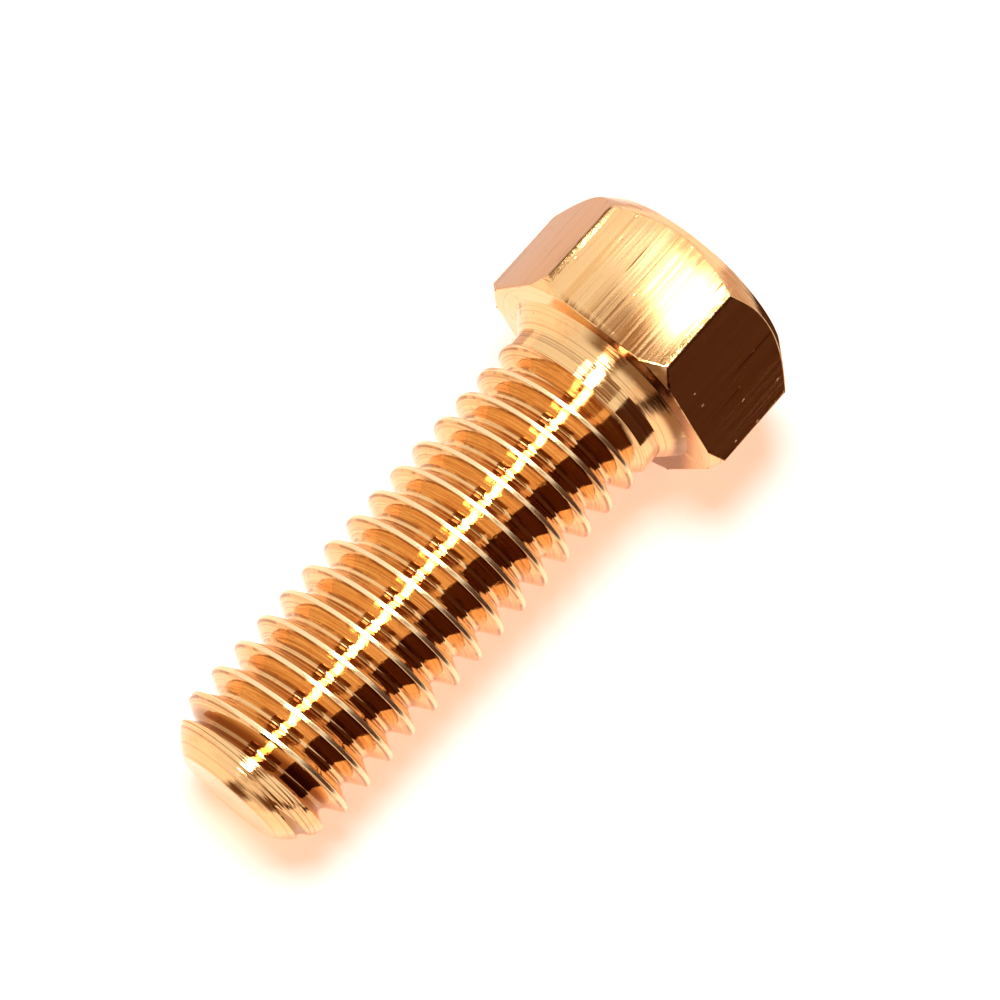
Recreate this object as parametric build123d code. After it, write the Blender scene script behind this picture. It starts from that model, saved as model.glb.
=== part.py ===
from build123d import *
import math
import os

# Brass hexagon-head screw with a metric coarse right-hand thread, M4 x 12, with a
# small 5.5 mm hexagon. It is one turned and threaded piece, so it is one solid.
#
# The screw is built upright on its own axis, with the underside of the head at
# height 0, the head above it and the shank below. At the end it is laid on its
# side as it rests on a bench: on one flat of the head and on a thread crest near
# the point, with the head towards +X and the bench at Z = 0.

# ---- driving dimensions, in mm and degrees ----
thread_major_d = 3.95  # over the crests, M4 as made to 6g
thread_pitch = 0.7
shank_length = 11.8  # from under the head to the end of the point
crest_drop = 0.446  # from under the head to the nearest crest, on the side it lies on

point_face_d = 2.4  # the flat end of the point
point_length = 1.15  # the rounded point, from its flat end to the full diameter
point_bulge = 0.16  # how far the point swells past a straight cone

neck_d = 3.87  # plain neck between the thread and the head
neck_length = 0.85  # from under the head to the end of the crests, flare included
runout_slope = 50.0  # rise of the groove's end onto the neck
flare_d = 4.7  # where the cone between the neck and the head meets the head
flare_length = 0.4

head_across_flats = 5.5
head_height = 2.9
head_top_face_d = 5.06  # flat of the top, inside its chamfer
head_top_chamfer_slope = 45.0
head_under_face_d = 5.85  # flat of the underside, which the hexagon's sides cut into
head_under_chamfer_slope = 45.0  # light chamfer under the corners

# ---- values that follow ----
major_r = thread_major_d / 2
neck_r = neck_d / 2
flat_distance = head_across_flats / 2
corner_r = flat_distance / math.cos(math.pi / 6)

# ISO metric profile: crest flats of P/8, flanks at 60 degrees to each other, and
# a root 17/24 of the fundamental triangle below the crests.
triangle_height = thread_pitch * math.sqrt(3) / 2
crest_width = thread_pitch / 8
thread_depth = triangle_height * 17 / 24
root_r = major_r - thread_depth
flank_run = math.tan(math.radians(30))  # width that a flank takes per mm of depth

cutter_overrun = 0.04  # how far the groove's cutter stands out of the shank
weld_depth = 0.1  # how far below the root the shank and the neck are joined


def turned(outline):
    """A solid turned about the screw's axis from an outline of (radius, height)."""
    return revolve(Plane.XZ * make_face(outline), Axis.Z)


def slope(degrees):
    return math.tan(math.radians(degrees))


def shank_blank():
    """The shank before threading: a full cylinder with a rounded point below.

    Its top is coned in below the root, inside the neck, so the last crest ends
    on the neck.
    """
    end = -shank_length
    face_edge = Vector(point_face_d / 2, end)
    shoulder = Vector(major_r, end + point_length)
    chord = (shoulder - face_edge).normalized()
    swell = (face_edge + shoulder) / 2 + Vector(chord.Y, -chord.X) * point_bulge
    crests_end = -neck_length - (major_r - neck_r)
    top_r = root_r - weld_depth
    top = crests_end + (major_r - top_r)
    return turned(
        [
            Polyline((0, top), (0, end), face_edge),
            ThreePointArc(face_edge, swell, shoulder),
            Polyline(shoulder, (major_r, crests_end), (top_r, top), (0, top)),
        ]
    )


def groove_cutter():
    """The thread's groove: its section across one groove, swept up a helix.

    The helix is a chain of half turns, from a pitch below the point to a pitch
    above the last crest.
    """
    turns = math.ceil((shank_length - crest_drop) / thread_pitch) + 2
    first_groove = -crest_drop + thread_pitch / 2 + thread_pitch * (1 - turns)
    mouth_r = major_r + cutter_overrun
    root_half = (thread_pitch - crest_width) / 2 - thread_depth * flank_run
    mouth_half = root_half + (mouth_r - root_r) * flank_run
    section = Plane.XZ * make_face(
        Polyline(
            (root_r, first_groove - root_half),
            (mouth_r, first_groove - mouth_half),
            (mouth_r, first_groove + mouth_half),
            (root_r, first_groove + root_half),
            close=True,
        )
    )
    half_rise = thread_pitch / 2
    half_turn = Helix(pitch=thread_pitch, height=half_rise, radius=major_r)
    path = Wire(
        [
            (Pos(0, 0, first_groove + i * half_rise) * Rot(0, 0, 180 * i) * half_turn).edge()
            for i in range(2 * turns)
        ]
    )
    return sweep(section, path=path, is_frenet=True)


def neck():
    """The plain neck, with the groove's run-out below it and a conical flare above."""
    foot_r = root_r - weld_depth
    foot = -neck_length - (neck_r - foot_r) / slope(runout_slope)
    outline = Polyline(
        (0, 0),
        (0, foot),
        (foot_r, foot),
        (neck_r, -neck_length),
        (neck_r, -flare_length),
        (flare_d / 2, 0),
        close=True,
    )
    return turned(outline)


def head():
    """The hexagon, one flat facing +X, chamfered round its top and lightly below."""
    prism = extrude(Rot(0, 0, 30) * RegularPolygon(corner_r, 6), head_height)
    top_r = head_top_face_d / 2
    under_r = head_under_face_d / 2
    top_drop = (corner_r - top_r) * slope(head_top_chamfer_slope)
    under_rise = (corner_r - under_r) * slope(head_under_chamfer_slope)
    envelope = Polyline(
        (0, 0),
        (under_r, 0),
        (corner_r, under_rise),
        (corner_r, head_height - top_drop),
        (top_r, head_height),
        (0, head_height),
        close=True,
    )
    return prism & turned(envelope)


def rest_tilt():
    """How far the axis rises towards the head, with the screw lying on its side.

    It lies on the lower edge of one flat and on the first crest of full diameter.
    """
    full_crests = (shank_length - point_length - crest_drop) / thread_pitch
    crest_edge = crest_drop + math.floor(full_crests) * thread_pitch + crest_width / 2
    return math.degrees(math.atan2(flat_distance - major_r, crest_edge))


def brass_screw():
    upright = shank_blank() - groove_cutter() + neck() + head()
    lying = Rot(0, 90 - rest_tilt(), 0) * upright
    box = lying.bounding_box()
    return Pos(-box.center().X, -box.center().Y, -box.min.Z) * lying


os.makedirs("parts", exist_ok=True)
export_step(brass_screw(), "parts/brass_screw.step")
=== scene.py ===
import math

import bmesh
import bpy
from mathutils import Matrix, Vector


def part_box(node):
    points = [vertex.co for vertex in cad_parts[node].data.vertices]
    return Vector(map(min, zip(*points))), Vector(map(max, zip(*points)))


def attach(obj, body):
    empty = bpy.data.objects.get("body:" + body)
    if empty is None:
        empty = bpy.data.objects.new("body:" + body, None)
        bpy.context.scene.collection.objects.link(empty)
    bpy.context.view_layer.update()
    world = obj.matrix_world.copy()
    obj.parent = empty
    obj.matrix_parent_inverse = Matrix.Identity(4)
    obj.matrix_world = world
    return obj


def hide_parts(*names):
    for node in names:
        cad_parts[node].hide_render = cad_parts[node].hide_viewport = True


# A small brass hexagon-head screw lying on a pale bench, shown in soft studio light.
# Pieces are shaped upright in millimetres, with the underside of the head at height
# 0 and the head above it, and are then laid down where the plain model lies.

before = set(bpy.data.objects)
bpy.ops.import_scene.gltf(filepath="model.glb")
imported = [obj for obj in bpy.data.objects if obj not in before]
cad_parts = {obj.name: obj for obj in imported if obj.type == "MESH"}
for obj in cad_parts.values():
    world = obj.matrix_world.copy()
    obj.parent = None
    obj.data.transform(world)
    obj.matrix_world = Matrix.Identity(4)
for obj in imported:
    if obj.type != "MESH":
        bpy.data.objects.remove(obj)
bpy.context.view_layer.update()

# ---- the screw's sizes, in mm and degrees ----
MAJOR_R = 1.975
PITCH = 0.7
SHANK_LENGTH = 11.8
CREST_DROP = 0.446
POINT_FACE_R = 1.2
POINT_LENGTH = 1.15
POINT_BULGE = 0.16
NECK_R = 1.935
NECK_LENGTH = 0.85
RUNOUT_SLOPE = 50.0
FLARE_R = 2.35
FLARE_LENGTH = 0.4
FLAT_DISTANCE = 2.75
HEAD_HEIGHT = 2.9
TOP_FACE_R = 2.53
TOP_CHAMFER_SLOPE = 45.0
UNDER_FACE_R = 2.925
UNDER_CHAMFER_SLOPE = 45.0

CORNER_R = FLAT_DISTANCE / math.cos(math.pi / 6)
CREST_WIDTH = PITCH / 8
THREAD_DEPTH = PITCH * math.sqrt(3) / 2 * 17 / 24
ROOT_R = MAJOR_R - THREAD_DEPTH
FULL_CRESTS = (SHANK_LENGTH - POINT_LENGTH - CREST_DROP) / PITCH
CREST_EDGE = CREST_DROP + math.floor(FULL_CRESTS) * PITCH + CREST_WIDTH / 2
REST_TILT = math.degrees(math.atan2(FLAT_DISTANCE - MAJOR_R, CREST_EDGE))
MM = 0.001


def slope(degrees):
    return math.tan(math.radians(degrees))


# ---- shaping ----
def turned(outline, steps=192, soften=()):
    """A closed solid turned about the axis from (radius, height) points.

    soften gives (index of a point, width) pairs: those corners are rounded over.
    """
    bm = bmesh.new()
    verts = [bm.verts.new((r, 0, z)) for r, z in outline]
    for pair in zip(verts, verts[1:]):
        bm.edges.new(pair)
    for index, width in soften:
        bmesh.ops.bevel(
            bm, geom=[verts[index]], offset=width, segments=4, profile=0.5,
            affect="VERTICES", material=-1,
        )
    bmesh.ops.spin(
        bm, geom=bm.verts[:] + bm.edges[:], cent=(0, 0, 0), axis=(0, 0, 1),
        dvec=(0, 0, 0), angle=2 * math.pi, steps=steps, use_merge=True,
        use_duplicate=False,
    )
    bmesh.ops.remove_doubles(bm, verts=bm.verts, dist=1e-5)
    bmesh.ops.recalc_face_normals(bm, faces=bm.faces)
    return bm


def piece(name, bm, finish=0):
    """An object of the shape; finish says which of the piece's materials it wears."""
    for face in bm.faces:
        face.material_index = finish
    mesh = bpy.data.meshes.new(name)
    bm.to_mesh(mesh)
    bm.free()
    made = bpy.data.objects.new(name, mesh)
    bpy.context.scene.collection.objects.link(made)
    return made


def settle_modifiers(made):
    """The piece's mesh becomes what its modifiers show, and the modifiers go."""
    graph = bpy.context.evaluated_depsgraph_get()
    mesh = bpy.data.meshes.new_from_object(made.evaluated_get(graph))
    made.modifiers.clear()
    made.data = mesh


def cut_with(made, tool, operation):
    """Joins a second solid to a piece, or keeps only what both share."""
    cut = made.modifiers.new("cut", "BOOLEAN")
    cut.operation = operation
    cut.solver = "EXACT"
    cut.object = tool
    settle_modifiers(made)
    bpy.data.objects.remove(tool)


def thread_ridges():
    """The thread's whole ridge, one crest-to-crest section wound up a helix."""
    turns = 19
    steps = 96
    groove = -CREST_DROP + PITCH / 2 - PITCH * (turns - 1)
    crest_half = CREST_WIDTH / 2
    virtual_root_r = MAJOR_R - (PITCH / 2 - crest_half) / math.tan(math.pi / 6)
    bm = bmesh.new()
    section = (
        (MAJOR_R, groove - PITCH / 2),
        (MAJOR_R, groove - PITCH / 2 + crest_half),
        (virtual_root_r, groove),
        (MAJOR_R, groove + PITCH / 2 - crest_half),
        (MAJOR_R, groove + PITCH / 2),
    )
    verts = [bm.verts.new((r, 0, z)) for r, z in section]
    for pair in zip(verts, verts[1:]):
        bm.edges.new(pair)
    bmesh.ops.bevel(
        bm, geom=[verts[2]], offset=0.199, segments=9, profile=0.5,
        affect="VERTICES", material=-1,
    )
    crest_corners = [v for v in bm.verts if abs(abs(v.co.z - groove) - PITCH / 2 + crest_half) < 1e-4]
    bmesh.ops.bevel(
        bm, geom=crest_corners, offset=0.018, segments=3, profile=0.5,
        affect="VERTICES", material=-1,
    )
    bmesh.ops.spin(
        bm, geom=bm.verts[:] + bm.edges[:], cent=(0, 0, 0), axis=(0, 0, 1),
        dvec=(0, 0, PITCH / steps), angle=2 * math.pi * turns, steps=steps * turns,
        use_merge=False, use_duplicate=False,
    )
    bmesh.ops.remove_doubles(bm, verts=bm.verts, dist=1e-4)
    for height, up in ((-SHANK_LENGTH - 0.3, -1), (-0.3, 1)):
        bmesh.ops.bisect_plane(
            bm, geom=bm.verts[:] + bm.edges[:] + bm.faces[:], plane_co=(0, 0, height),
            plane_no=(0, 0, up), clear_outer=True,
        )
    bmesh.ops.holes_fill(bm, edges=bm.edges, sides=0)
    bmesh.ops.recalc_face_normals(bm, faces=bm.faces)
    return piece("threaded_shank", bm)


def point_arc(count=10):
    """The rounded point's outline, from its flat end out past the crests."""
    end = -SHANK_LENGTH
    start = Vector((POINT_FACE_R, end))
    stop = Vector((MAJOR_R, end + POINT_LENGTH))
    chord = stop - start
    swell = Vector((chord.y, -chord.x)).normalized() * POINT_BULGE
    steps = [i / count for i in range(count + 3)]
    return [tuple(start + chord * t + swell * 4 * t * (1 - t)) for t in steps]


def threaded_shank():
    shank = thread_ridges()
    crests_end = -NECK_LENGTH - (MAJOR_R - NECK_R)
    widest = MAJOR_R + 0.1
    bounds = [(0, -SHANK_LENGTH)] + point_arc()
    bounds = [(min(r, widest), z) for r, z in bounds]
    bounds += [(widest, crests_end + MAJOR_R - widest), (ROOT_R - 0.1, crests_end + THREAD_DEPTH + 0.1)]
    bounds += [(0, crests_end + THREAD_DEPTH + 0.1)]
    cut_with(shank, piece("blank", turned(bounds), 1), "INTERSECT")
    foot_r = ROOT_R - 0.1
    neck = turned(
        [
            (0, -NECK_LENGTH - (NECK_R - foot_r) / slope(RUNOUT_SLOPE)),
            (foot_r, -NECK_LENGTH - (NECK_R - foot_r) / slope(RUNOUT_SLOPE)),
            (NECK_R, -NECK_LENGTH),
            (NECK_R, -FLARE_LENGTH),
            (FLARE_R, 0),
            (FLARE_R, 0.2),
            (0, 0.2),
        ],
    )
    cut_with(shank, piece("neck", neck, 1), "UNION")
    return shank


def hexagon_head():
    bm = bmesh.new()
    spare = 0.2
    bmesh.ops.create_circle(
        bm, cap_ends=True, segments=6, radius=CORNER_R, matrix=Matrix.Translation((0, 0, -spare))
    )
    raised = bmesh.ops.extrude_face_region(bm, geom=bm.faces[:])["geom"]
    corners = [v for v in raised if isinstance(v, bmesh.types.BMVert)]
    bmesh.ops.translate(bm, verts=corners, vec=(0, 0, HEAD_HEIGHT + 2 * spare))
    bmesh.ops.recalc_face_normals(bm, faces=bm.faces)
    head = piece("hexagon_head", bm)
    reach = CORNER_R + 0.2
    envelope = turned(
        [
            (0, 0),
            (UNDER_FACE_R, 0),
            (reach, (reach - UNDER_FACE_R) * slope(UNDER_CHAMFER_SLOPE)),
            (reach, HEAD_HEIGHT - (reach - TOP_FACE_R) * slope(TOP_CHAMFER_SLOPE)),
            (TOP_FACE_R, HEAD_HEIGHT),
            (0, HEAD_HEIGHT),
        ],
    )
    cut_with(head, piece("envelope", envelope, 1), "INTERSECT")
    return head


def lay_down(pieces):
    """Turns the upright pieces to where the plain model lies, in metres."""
    turn = Matrix.Rotation(math.radians(90 - REST_TILT), 4, "Y")
    lows = [min((turn @ v.co)[i] for p in pieces for v in p.data.vertices) for i in range(3)]
    highs = [max((turn @ v.co)[i] for p in pieces for v in p.data.vertices) for i in range(3)]
    low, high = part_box("brass_screw")
    shift = Vector(
        (
            (low.x + high.x) / 2 - (lows[0] + highs[0]) / 2 * MM,
            (low.y + high.y) / 2 - (lows[1] + highs[1]) / 2 * MM,
            low.z - lows[2] * MM,
        )
    )
    place = Matrix.Translation(shift) @ Matrix.Scale(MM, 4) @ turn
    for p in pieces:
        p.data.transform(place)
    return shift


def finish_edges(made, width, angle):
    """Softens every edge sharper than the angle."""
    edge = made.modifiers.new("edges", "BEVEL")
    edge.width = width
    edge.segments = 3
    edge.limit_method = "ANGLE"
    edge.angle_limit = math.radians(angle)
    edge.use_clamp_overlap = False
    settle_modifiers(made)


def trim_to_flats(made):
    """Draws back what the softened edges push past the hexagon's flats."""
    for corner in made.data.vertices:
        for side in range(6):
            turn = math.radians(60 * side)
            outward = Vector((math.cos(turn), math.sin(turn), 0))
            corner.co -= outward * max(corner.co.dot(outward) - FLAT_DISTANCE, 0)


def merge_slivers(made):
    """Closes up the slivers that cutting and softening leave."""
    sliver = 0.0003
    bm = bmesh.new()
    bm.from_mesh(made.data)
    bmesh.ops.remove_doubles(bm, verts=bm.verts, dist=sliver)
    bmesh.ops.dissolve_degenerate(bm, edges=bm.edges, dist=sliver)
    bm.to_mesh(made.data)
    bm.free()


def smooth(made, angle):
    for face in made.data.polygons:
        face.use_smooth = True
    made.data.set_sharp_from_angle(angle=math.radians(angle))


# ---- the pieces ----
shank = threaded_shank()
head = hexagon_head()
finish_edges(head, 0.035, 24)
trim_to_flats(head)
merge_slivers(shank)
shift = lay_down([shank, head])
smooth(shank, 32)
smooth(head, 24)

# ---- finishes ----


def link(tree, a, b):
    tree.links.new(a, b)


def new_group(name, numbers=(), vectors=(), out_numbers=(), out_vectors=(), out_colours=()):
    """An empty shader node group, with its named inputs and outputs."""
    tree = bpy.data.node_groups.new(name, "ShaderNodeTree")
    face = tree.interface
    for label, value in numbers:
        face.new_socket(label, in_out="INPUT", socket_type="NodeSocketFloat").default_value = value
    for label in vectors:
        face.new_socket(label, in_out="INPUT", socket_type="NodeSocketVector")
    for label in out_numbers:
        face.new_socket(label, in_out="OUTPUT", socket_type="NodeSocketFloat")
    for label in out_vectors:
        face.new_socket(label, in_out="OUTPUT", socket_type="NodeSocketVector")
    for label in out_colours:
        face.new_socket(label, in_out="OUTPUT", socket_type="NodeSocketColor")
    return tree, tree.nodes.new("NodeGroupInput"), tree.nodes.new("NodeGroupOutput")


def placed(tree, group, **values):
    """A group placed in a material: each value is a number, or a socket to link."""
    node = tree.nodes.new("ShaderNodeGroup")
    node.node_tree = group
    for label, value in values.items():
        socket = node.inputs[label.replace("_", " ")]
        if isinstance(value, bpy.types.NodeSocket):
            link(tree, value, socket)
        else:
            socket.default_value = value
    return node.outputs


def sums(tree, operation, *values):
    """One Math node on numbers or sockets."""
    node = tree.nodes.new("ShaderNodeMath")
    node.operation = operation
    for index, value in enumerate(values):
        if isinstance(value, bpy.types.NodeSocket):
            link(tree, value, node.inputs[index])
        else:
            node.inputs[index].default_value = value
    return node.outputs[0]


def joined(tree, x, y, z):
    node = tree.nodes.new("ShaderNodeCombineXYZ")
    for index, value in enumerate((x, y, z)):
        if isinstance(value, bpy.types.NodeSocket):
            link(tree, value, node.inputs[index])
        else:
            node.inputs[index].default_value = value
    return node.outputs[0]


def cloudy(tree, vector, scale, detail=2.0, roughness=0.5):
    node = tree.nodes.new("ShaderNodeTexNoise")
    node.inputs["Scale"].default_value = scale
    node.inputs["Detail"].default_value = detail
    node.inputs["Roughness"].default_value = roughness
    link(tree, vector, node.inputs["Vector"])
    return node.outputs["Factor"] if "Factor" in node.outputs else node.outputs["Fac"]


def eased(tree, value, start, stop, low=0.0, high=1.0):
    """A smooth step of a value between two limits."""
    node = tree.nodes.new("ShaderNodeMapRange")
    node.interpolation_type = "SMOOTHSTEP"
    link(tree, value, node.inputs["Value"])
    for label, number in zip(("From Min", "From Max", "To Min", "To Max"), (start, stop, low, high)):
        if isinstance(number, bpy.types.NodeSocket):
            link(tree, number, node.inputs[label])
        else:
            node.inputs[label].default_value = number
    return node.outputs["Result"]


def tinted(tree, share, first, second):
    """A mix of two colours, each a colour or a socket."""
    node = tree.nodes.new("ShaderNodeMix")
    node.data_type = "RGBA"
    link(tree, share, node.inputs["Factor"])
    for socket, value in ((node.inputs[6], first), (node.inputs[7], second)):
        if isinstance(value, bpy.types.NodeSocket):
            link(tree, value, socket)
        else:
            socket.default_value = (*value, 1)
    return node.outputs[2]


def screw_place():
    """Where a point is on the upright screw, in mm: its radius, height and turn."""
    tree, _, out = new_group(
        "screw place", out_numbers=("Radius", "Height", "Turn"), out_vectors=("Place",)
    )
    where = tree.nodes.new("ShaderNodeTexCoord")
    stood_up = tree.nodes.new("ShaderNodeMapping")
    stood_up.vector_type = "TEXTURE"
    stood_up.inputs["Location"].default_value = shift
    stood_up.inputs["Rotation"].default_value = (0, math.radians(90 - REST_TILT), 0)
    stood_up.inputs["Scale"].default_value = (MM, MM, MM)
    link(tree, where.outputs["Object"], stood_up.inputs["Vector"])
    parts = tree.nodes.new("ShaderNodeSeparateXYZ")
    link(tree, stood_up.outputs["Vector"], parts.inputs["Vector"])
    x, y, z = parts.outputs
    squared = sums(tree, "ADD", sums(tree, "MULTIPLY", x, x), sums(tree, "MULTIPLY", y, y))
    link(tree, sums(tree, "SQRT", squared), out.inputs["Radius"])
    link(tree, z, out.inputs["Height"])
    angle = sums(tree, "ARCTAN2", y, x)
    link(tree, sums(tree, "DIVIDE", angle, 2 * math.pi), out.inputs["Turn"])
    link(tree, stood_up.outputs["Vector"], out.inputs["Place"])
    return tree


def thread_lines():
    """Fine lines that the threading tool leaves along the groove.

    From crest is the distance along the axis from the nearest crest, in mm.
    """
    tree, given, out = new_group(
        "thread lines",
        numbers=(("Height", 0.0), ("Turn", 0.0), ("Scale", 2.5)),
        out_numbers=("Lines", "From crest"),
    )
    turns = sums(tree, "DIVIDE", sums(tree, "ADD", given.outputs["Height"], CREST_DROP), PITCH)
    phase = sums(tree, "SUBTRACT", turns, given.outputs["Turn"])
    round_angle = sums(tree, "MULTIPLY", phase, 2 * math.pi)
    cosine = sums(tree, "COSINE", round_angle)
    sine = sums(tree, "SINE", round_angle)
    slow = sums(tree, "MULTIPLY", given.outputs["Height"], 0.35)
    noise = tree.nodes.new("ShaderNodeTexNoise")
    link(tree, joined(tree, cosine, sine, slow), noise.inputs["Vector"])
    link(tree, given.outputs["Scale"], noise.inputs["Scale"])
    noise.inputs["Detail"].default_value = 3
    noise.inputs["Roughness"].default_value = 0.6
    link(tree, noise.outputs[0], out.inputs["Lines"])
    from_crest = sums(tree, "MULTIPLY", sums(tree, "ARCCOSINE", cosine), PITCH / (2 * math.pi))
    link(tree, from_crest, out.inputs["From crest"])
    return tree


def turned_rings():
    """Rings that the lathe leaves, whichever way the turned face slopes."""
    tree, given, out = new_group(
        "turned rings",
        numbers=(("Radius", 0.0), ("Height", 0.0), ("Scale", 12.0)),
        out_numbers=("Rings",),
    )
    noise = tree.nodes.new("ShaderNodeTexNoise")
    link(tree, joined(tree, given.outputs["Radius"], given.outputs["Height"], 0.0), noise.inputs["Vector"])
    link(tree, given.outputs["Scale"], noise.inputs["Scale"])
    noise.inputs["Detail"].default_value = 2
    noise.inputs["Roughness"].default_value = 0.7
    link(tree, noise.outputs[0], out.inputs["Rings"])
    return tree


def drawn_streaks():
    """Streaks along the bar that the hexagon was drawn as: broad ones and fine ones."""
    tree, given, out = new_group(
        "drawn streaks", vectors=("Place",), out_numbers=("Broad", "Fine", "Scratches")
    )
    for label, across, along, scale, detail in (
        ("Broad", 1.0, 0.05, 3.6, 3.0),
        ("Fine", 1.0, 0.012, 16.0, 2.0),
        ("Scratches", 1.0, 0.05, 9.0, 1.0),
    ):
        stretch = tree.nodes.new("ShaderNodeVectorMath")
        stretch.operation = "MULTIPLY"
        stretch.inputs[1].default_value = (across, across, along)
        link(tree, given.outputs["Place"], stretch.inputs[0])
        link(tree, cloudy(tree, stretch.outputs[0], scale, detail), out.inputs[label])
    return tree


def stains():
    """Soft patches where the brass has darkened, and small pits."""
    tree, given, out = new_group(
        "stains",
        numbers=(("Amount", 0.5), ("Scale", 1.4)),
        vectors=("Place",),
        out_numbers=("Patches", "Pits"),
    )
    noise = tree.nodes.new("ShaderNodeTexNoise")
    link(tree, given.outputs["Place"], noise.inputs["Vector"])
    link(tree, given.outputs["Scale"], noise.inputs["Scale"])
    noise.inputs["Detail"].default_value = 4
    noise.inputs["Roughness"].default_value = 0.65
    low = sums(tree, "SUBTRACT", 0.85, sums(tree, "MULTIPLY", given.outputs["Amount"], 0.5))
    link(tree, eased(tree, noise.outputs[0], low, sums(tree, "ADD", low, 0.2)), out.inputs["Patches"])
    cells = tree.nodes.new("ShaderNodeTexVoronoi")
    cells.inputs["Scale"].default_value = 2.4
    link(tree, given.outputs["Place"], cells.inputs["Vector"])
    link(tree, eased(tree, cells.outputs["Distance"], 0.09, 0.05), out.inputs["Pits"])
    return tree


PLACE = screw_place()
THREAD_LINES = thread_lines()
RINGS = turned_rings()
STREAKS = drawn_streaks()
STAINS = stains()

FRESH = (0.95, 0.58, 0.26)
STAINED = (0.80, 0.38, 0.12)
BROWNED = (0.40, 0.16, 0.05)
# Colour of the painted shade under the head.
UNDER_HEAD_SHADE = (0.22, 0.08, 0.02)
# Crest colour, lighter than fresh brass: partly wear, partly a painted highlight.
WORN_CREST_AND_SHEEN = (1.0, 0.72, 0.40)


def plain(name, colour, roughness, metallic=1.0):
    material = bpy.data.materials.new(name)
    material.use_nodes = True
    tree = material.node_tree
    shader = tree.nodes["Principled BSDF"]
    shader.inputs["Base Color"].default_value = (*colour, 1)
    shader.inputs["Metallic"].default_value = metallic
    shader.inputs["Roughness"].default_value = roughness
    return material, tree, shader


def bumped(tree, shader, height):
    """Relief from a height in mm."""
    bump = tree.nodes.new("ShaderNodeBump")
    bump.inputs["Distance"].default_value = MM
    link(tree, height, bump.inputs["Height"])
    link(tree, bump.outputs["Normal"], shader.inputs["Normal"])


def band(tree, value, start, stop, edge):
    """1 between two limits, easing to 0 over the edge's width outside them."""
    rise = eased(tree, value, start - edge, start)
    fall = eased(tree, value, stop + edge, stop)
    return sums(tree, "MULTIPLY", rise, fall)


def cut_thread():
    """The thread: crests painted lighter, partly for wear and partly as a painted highlight, with painted
    dark reflection lines beside them and painted shade in the root.
    """
    material, tree, shader = plain("cut thread", FRESH, 0.08)
    place = placed(tree, PLACE)
    around = {"Height": place["Height"], "Turn": place["Turn"]}
    lines = placed(tree, THREAD_LINES, Scale=2.6, **around)
    fine_lines = placed(tree, THREAD_LINES, Scale=7.0, **around)["Lines"]
    patches = placed(tree, STAINS, Place=place["Place"], Amount=0.75, Scale=1.1)
    flecks = placed(tree, STAINS, Place=place["Place"], Amount=0.62, Scale=4.5)["Patches"]
    from_crest = lines["From crest"]
    uneven = cloudy(tree, place["Place"], 1.7, 3)
    # Painted dark reflection: brown lines just beside the crests.
    painted_dark_beside_crest = sums(
        tree, "MULTIPLY", band(tree, from_crest, 0.060, 0.078, 0.014),
        eased(tree, uneven, 0.40, 0.54, 0.25, 1.0),
    )
    # Painted shade: brown in the root of the groove.
    painted_shade_at_root = sums(
        tree, "MULTIPLY", band(tree, from_crest, 0.270, 0.30, 0.02), eased(tree, uneven, 0.60, 0.44)
    )
    tool_lines = sums(tree, "MULTIPLY", eased(tree, lines["Lines"], 0.52, 0.60), 0.5)
    cuts = sums(tree, "MULTIPLY", eased(tree, fine_lines, 0.53, 0.62), 0.6)
    # Painted shade: the groove next to the point is darkened brown.
    groove = eased(tree, from_crest, 0.10, 0.24)
    by_point = eased(tree, place["Height"], -SHANK_LENGTH + 1.30, -SHANK_LENGTH + 1.05)
    painted_shade = sums(tree, "MULTIPLY", groove, by_point)
    # The brown mix below is painted dark reflection beside the crests, painted shade in the root and by
    # the point, and the tool's fine cuts.
    brown = sums(tree, "MAXIMUM", sums(tree, "MAXIMUM", painted_dark_beside_crest, painted_shade_at_root), painted_shade)
    brown = sums(tree, "MAXIMUM", brown, cuts)
    stained = sums(tree, "MAXIMUM", tool_lines, sums(tree, "MULTIPLY", patches["Patches"], 0.5))
    stained = sums(tree, "MAXIMUM", stained, sums(tree, "MULTIPLY", flecks, 0.8))
    colour = tinted(tree, stained, FRESH, STAINED)
    colour = tinted(tree, sums(tree, "MULTIPLY", brown, 0.85), colour, BROWNED)
    # The crests are painted lighter, partly for wear and partly as a painted highlight along them.
    on_crest = eased(tree, from_crest, 0.052, 0.036)
    link(tree, tinted(tree, on_crest, colour, WORN_CREST_AND_SHEEN), shader.inputs["Base Color"])
    shine = eased(tree, lines["Lines"], 0.35, 0.7, 0.03, 0.08)
    rubbed = sums(tree, "MULTIPLY", on_crest, 0.20)
    link(tree, sums(tree, "ADD", shine, rubbed), shader.inputs["Roughness"])
    relief = sums(tree, "MULTIPLY", lines["Lines"], 0.0012)
    relief = sums(tree, "ADD", relief, sums(tree, "MULTIPLY", flecks, -0.0012))
    bumped(tree, shader, relief)
    return material


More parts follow.
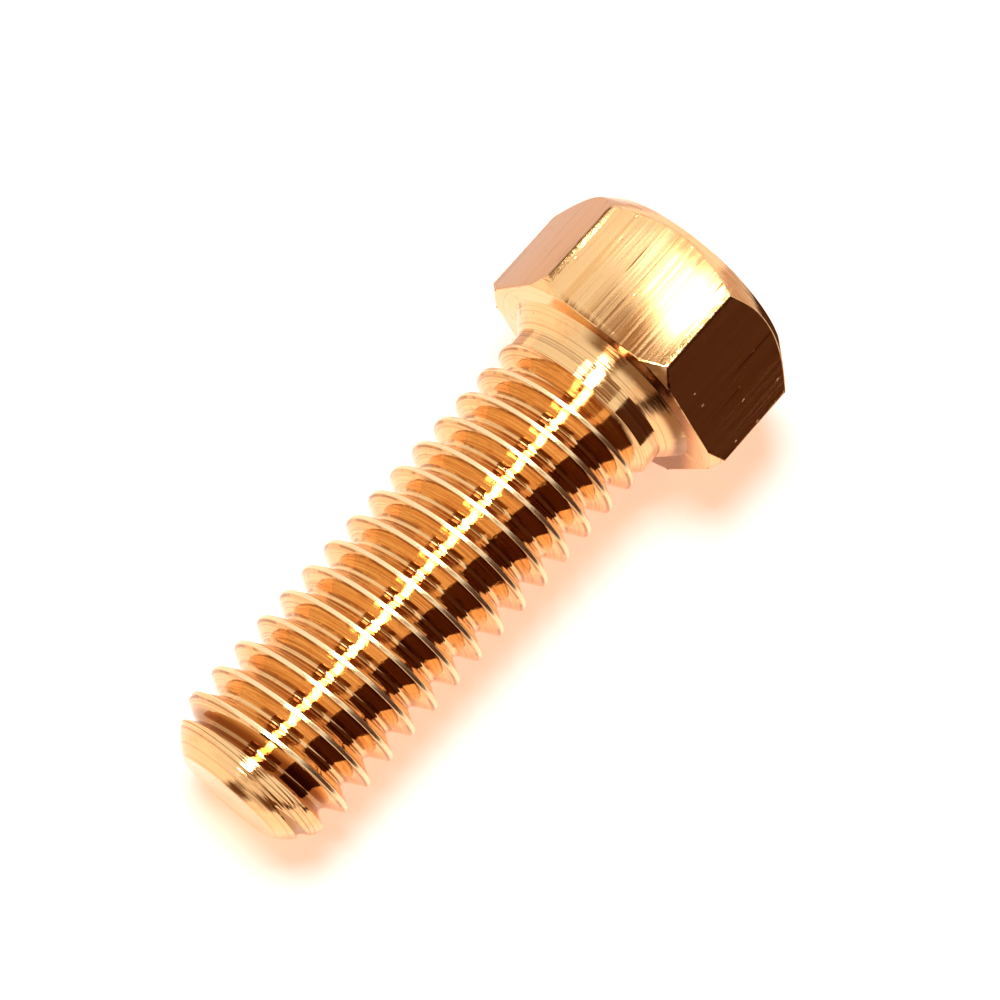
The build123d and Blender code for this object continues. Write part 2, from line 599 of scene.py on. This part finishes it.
def turned_brass():
    """The point, the neck and the head's turned faces: polished, with rings.

    The rings are deepest round the point, just below the thread, and painted shade darkens the underside
    of the head round the neck on one side.
    """
    material, tree, shader = plain("turned brass", FRESH, 0.1)
    place = placed(tree, PLACE)
    around = {"Radius": place["Radius"], "Height": place["Height"]}
    rings = placed(tree, RINGS, Scale=8.0, **around)["Rings"]
    fine_rings = placed(tree, RINGS, Scale=26.0, **around)["Rings"]
    patches = placed(tree, STAINS, Place=place["Place"], Amount=0.6, Scale=1.6)
    spots = sums(tree, "MAXIMUM", sums(tree, "MULTIPLY", patches["Patches"], 0.5), patches["Pits"])
    colour = tinted(tree, spots, FRESH, STAINED)
    by_thread = band(tree, place["Height"], -SHANK_LENGTH + 0.50, -SHANK_LENGTH + 1.2, 0.2)
    cut_rings = eased(tree, fine_rings, 0.54, 0.62)
    cut_rings = sums(tree, "MULTIPLY", cut_rings, sums(tree, "MULTIPLY_ADD", by_thread, 0.5, 0.4))
    sides = tree.nodes.new("ShaderNodeSeparateXYZ")
    link(tree, place["Place"], sides.inputs[0])
    # Painted shade: the head's underside round the neck is darkened on one side, with a wavy edge.
    under_head = band(tree, place["Height"], -0.12, 0.12, 0.15)
    one_side = band(tree, sides.outputs["Y"], -2.1, -0.1, 0.6)
    wavy = eased(tree, cloudy(tree, place["Place"], 1.3, 3), 0.28, 0.42)
    painted_shade = sums(tree, "MULTIPLY", sums(tree, "MULTIPLY", under_head, one_side), wavy)
    brown = sums(tree, "MAXIMUM", cut_rings, sums(tree, "MULTIPLY", painted_shade, 0.95))
    link(tree, tinted(tree, brown, colour, UNDER_HEAD_SHADE), shader.inputs["Base Color"])
    link(tree, eased(tree, rings, 0.3, 0.7, 0.06, 0.14), shader.inputs["Roughness"])
    depth = sums(tree, "MULTIPLY_ADD", by_thread, 0.045, 0.005)
    relief = sums(tree, "MULTIPLY", rings, depth)
    relief = sums(tree, "ADD", relief, sums(tree, "MULTIPLY", fine_rings, 0.003))
    bumped(tree, shader, relief)
    return material


def drawn_brass():
    """The hexagon's flats: satin, with streaks and scratches along the bar, and
    small nicks at its corners. The flat that lies upward is the most rubbed."""
    material, tree, shader = plain("drawn brass", FRESH, 0.2)
    place = placed(tree, PLACE)
    streaks = placed(tree, STREAKS, Place=place["Place"])
    patches = placed(tree, STAINS, Place=place["Place"], Amount=0.5, Scale=0.9)
    sector = sums(tree, "PINGPONG", sums(tree, "MULTIPLY", place["Turn"], 6.0), 0.5)
    corner = sums(tree, "MULTIPLY", sums(tree, "SUBTRACT", 0.5, sector), math.pi / 3 * CORNER_R)
    nicks = sums(
        tree, "MULTIPLY", eased(tree, corner, 0.16, 0.02), cloudy(tree, place["Place"], 6.0, 3, 0.7)
    )
    upward = eased(tree, sums(tree, "ABSOLUTE", place["Turn"]), 0.41, 0.42)
    rubbed = sums(tree, "MULTIPLY_ADD", upward, 0.75, 0.25)
    broad = eased(tree, streaks["Broad"], 0.47, 0.62)
    scratch = eased(tree, streaks["Scratches"], 0.70, 0.74)
    pits = sums(tree, "MULTIPLY", patches["Pits"], 0.8)
    worn = sums(tree, "MULTIPLY", sums(tree, "MULTIPLY", broad, 0.5), rubbed)
    colour = tinted(tree, sums(tree, "MAXIMUM", worn, pits), FRESH, STAINED)
    bruised = sums(tree, "MAXIMUM", scratch, eased(tree, nicks, 0.55, 0.62))
    colour = tinted(tree, bruised, colour, BROWNED)
    edge_line = sums(tree, "MULTIPLY", eased(tree, corner, 0.07, 0.045), 0.7)
    link(tree, tinted(tree, edge_line, colour, BROWNED), shader.inputs["Base Color"])
    link(tree, eased(tree, streaks["Fine"], 0.3, 0.7, 0.10, 0.20), shader.inputs["Roughness"])
    relief = sums(tree, "MULTIPLY", streaks["Fine"], 0.0010)
    relief = sums(tree, "ADD", relief, sums(tree, "MULTIPLY", streaks["Broad"], 0.0035))
    relief = sums(tree, "MULTIPLY", relief, rubbed)
    relief = sums(tree, "ADD", relief, sums(tree, "MULTIPLY", nicks, 0.02))
    relief = sums(tree, "SUBTRACT", relief, sums(tree, "MULTIPLY", patches["Pits"], 0.006))
    bumped(tree, shader, relief)
    return material


CUT, TURNED, DRAWN = cut_thread(), turned_brass(), drawn_brass()
for made, finishes in ((shank, (CUT, TURNED)), (head, (DRAWN, TURNED))):
    worn_by = [face.material_index for face in made.data.polygons]
    made.data.materials.clear()
    for finish in finishes:
        made.data.materials.append(finish)
    made.data.polygons.foreach_set("material_index", worn_by)
    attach(made, "root")
    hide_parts("brass_screw")

# ---- the studio ----
scene = bpy.context.scene
scene.view_settings.view_transform = "Standard"


def seen_or_mirrored(tree):
    """1 for what the camera sees straight on or mirrored, 0 for plain lighting."""
    path = tree.nodes.new("ShaderNodeLightPath")
    both = tree.nodes.new("ShaderNodeMath")
    both.operation = "MAXIMUM"
    all_three = tree.nodes.new("ShaderNodeMath")
    all_three.operation = "MAXIMUM"
    link(tree, path.outputs["Is Camera Ray"], both.inputs[0])
    link(tree, path.outputs["Is Glossy Ray"], both.inputs[1])
    link(tree, both.outputs[0], all_three.inputs[0])
    link(tree, path.outputs["Is Transmission Ray"], all_three.inputs[1])
    return all_three.outputs[0]


def bench():
    """A white bench. Its own warm glow is what is left in the screw's shadow."""
    bm = bmesh.new()
    bmesh.ops.create_grid(bm, x_segments=2, y_segments=2, size=1.5)
    floor = piece("bench", bm)
    material, tree, shader = plain("bench white", (0.9, 0.9, 0.9), 1, 0)
    shader.inputs["Specular IOR Level"].default_value = 0
    shader.inputs["Emission Color"].default_value = (1, 0.58, 0.40, 1)
    glow = sums(tree, "MULTIPLY", seen_or_mirrored(tree), 0.90)
    link(tree, glow, shader.inputs["Emission Strength"])
    floor.data.materials.append(material)


def pale_room():
    """A white room where it is seen, and a dim one where it only lights the bench."""
    world = bpy.data.worlds.new("pale room")
    scene.world = world
    world.use_nodes = True
    tree = world.node_tree
    background = tree.nodes["Background"]
    background.inputs["Color"].default_value = (1, 1, 1, 1)
    strength = eased(tree, seen_or_mirrored(tree), 0, 1, 0.05, 1)
    link(tree, strength, background.inputs["Strength"])


def softbox(name, place, aim, width, height, radiance, colour=(1, 1, 1), seen=True, lights=True):
    """A soft lamp. It can be for the metal's shine alone, or for the bench alone."""
    lamp = bpy.data.lights.new(name, "AREA")
    lamp.shape = "RECTANGLE"
    lamp.size = width
    lamp.size_y = height
    lamp.energy = radiance * math.pi * width * height
    lamp.color = colour
    box = bpy.data.objects.new(name, lamp)
    scene.collection.objects.link(box)
    box.location = place
    box.rotation_euler = (Vector(aim) - Vector(place)).to_track_quat("-Z", "Y").to_euler()
    box.visible_camera = False
    box.visible_glossy = seen
    box.visible_diffuse = lights
    return box


def flag(name, section, low_x, high_x, tone):
    """A dark studio card, which shows only as a dark patch in polished metal.

    Its section is a line of (y, z) points, and it runs along X.
    """
    bm = bmesh.new()
    line = [bm.verts.new((low_x, y, z)) for y, z in section]
    edges = [bm.edges.new(pair) for pair in zip(line, line[1:])]
    raised = bmesh.ops.extrude_edge_only(bm, edges=edges)["geom"]
    far = [v for v in raised if isinstance(v, bmesh.types.BMVert)]
    bmesh.ops.translate(bm, verts=far, vec=(high_x - low_x, 0, 0))
    card = piece(name, bm)
    material, _, shader = plain(name, (0, 0, 0), 1, 0)
    shader.inputs["Specular IOR Level"].default_value = 0
    shader.inputs["Emission Color"].default_value = (*tone, 1)
    shader.inputs["Emission Strength"].default_value = 1
    card.data.materials.append(material)
    card.visible_camera = False
    card.visible_shadow = False
    card.visible_diffuse = False
    card.visible_transmission = False


def studio_camera():
    cam = bpy.data.cameras.new("camera")
    cam.lens = 128.65
    cam.sensor_width = 36
    cam.clip_start = 0.004
    cam.clip_end = 20
    holder = bpy.data.objects.new("camera", cam)
    scene.collection.objects.link(holder)
    holder.location = (-0.021857, -0.018183, 0.070868)
    aim = Vector((0.000894, -0.000186, 0.0028))
    look = (aim - holder.location).to_track_quat("-Z", "Y").to_matrix().to_4x4()
    holder.rotation_euler = (look @ Matrix.Rotation(math.radians(2.09), 4, "Z")).to_euler()
    scene.camera = holder


bench()
pale_room()
studio_camera()
COOL = (0.45, 0.85, 1.0)
softbox("overhead", (0.075, 0.032, 0.245), (0.075, 0.032, 0), 0.050, 0.064, 5.5, lights=False)
softbox("key", (0.020, 0.042, 0.34), (0, 0, 0), 0.12, 0.12, 19.6, COOL, seen=False)
softbox("strip", (-0.05, -0.0065, 0.05), (-0.05, 0, 0), 0.22, 0.0095, 24.0, lights=False)
softbox("end", (-0.100, 0.006, 0.036), (0, 0, 0.003), 0.012, 0.020, 12.0, lights=False)

DARK, DUSKY, ROSY = (0.08, 0.03, 0.015), (0.30, 0.16, 0.08), (0.84, 0.62, 0.55)
UMBER = (0.16, 0.06, 0.02)
side = ((-0.0075, 0.0002), (-0.0095, 0.0005), (-0.0125, 0.0125))
flag("side flag", side, -0.010, 0.020, DARK)
flag("top flag", ((0.0050, 0.0611), (-0.040, 0.0500)), -0.40, 0.0205, DUSKY)
flag("upper flag", ((0.0185, 0.0645), (0.0050, 0.0611)), -0.40, 0.0120, DUSKY)
flag("far card", ((0.0045, 0.0002), (0.0120, 0.0004)), 0.004, 0.016, ROSY)
flag("front flag", ((0.0020, 0.0003), (-0.0018, 0.0003)), -0.045, -0.0135, UMBER)
flag("low flag", ((-0.0034, 0.0003), (-0.0130, 0.0003)), -0.045, -0.0120, UMBER)
flag("end flag", ((-0.0045, 0.0002), (0.0008, 0.0002)), 0.0092, 0.0150, DARK)
flag("end card", ((-0.0120, 0.0002), (-0.0005, 0.0002)), 0.0160, 0.0450, (0.72, 0.50, 0.42))
